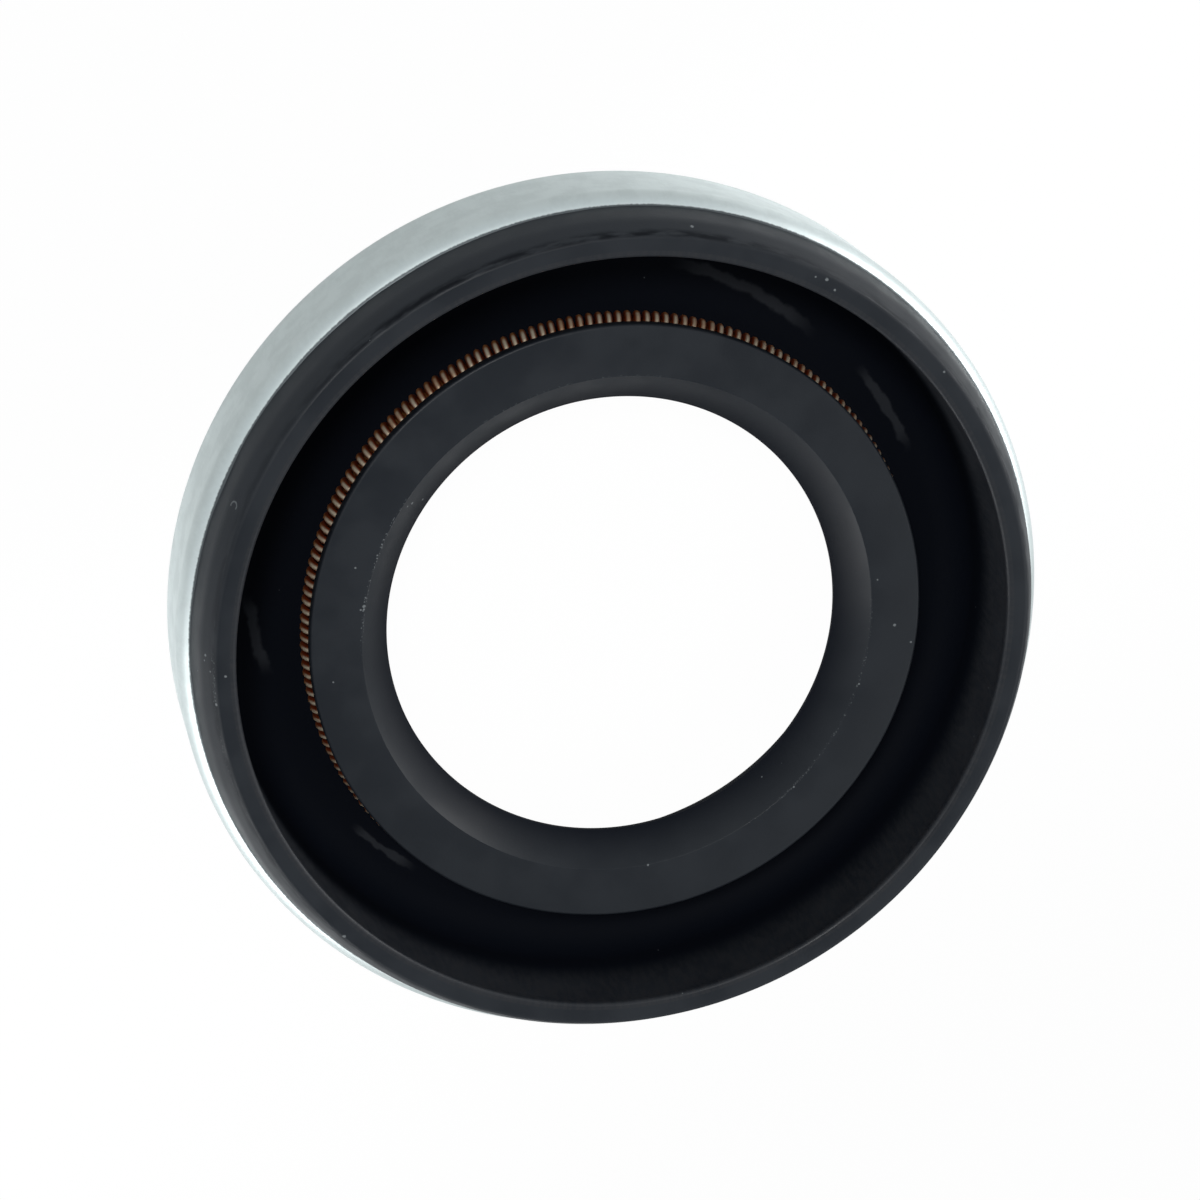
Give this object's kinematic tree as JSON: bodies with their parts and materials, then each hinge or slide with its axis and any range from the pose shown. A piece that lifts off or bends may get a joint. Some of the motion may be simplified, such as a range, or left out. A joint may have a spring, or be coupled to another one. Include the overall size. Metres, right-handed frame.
{
  "type": "radial shaft seal",
  "caption": "Metal-cased radial shaft seal: a bare steel ring lined with black rubber, with a sealing lip drawn onto the shaft by a garter spring.",
  "frame": {"origin": "on the seal's axis, in the plane of the case's back face", "axes": "+Z along the seal's axis, from the back face towards the spring side"},
  "size_m": [0.04, 0.04, 0.008],
  "materials": {
    "case_steel": "satin, bare pressed sheet steel with a faint mottle",
    "seal_rubber": "matt black moulded nitrile rubber",
    "spring_wire": "bronze-coloured drawn wire"
  },
  "bodies": {
    "root": {"metal_case": "case_steel", "rubber_body": "seal_rubber", "garter_spring": "spring_wire"}
  },
  "joints": []
}
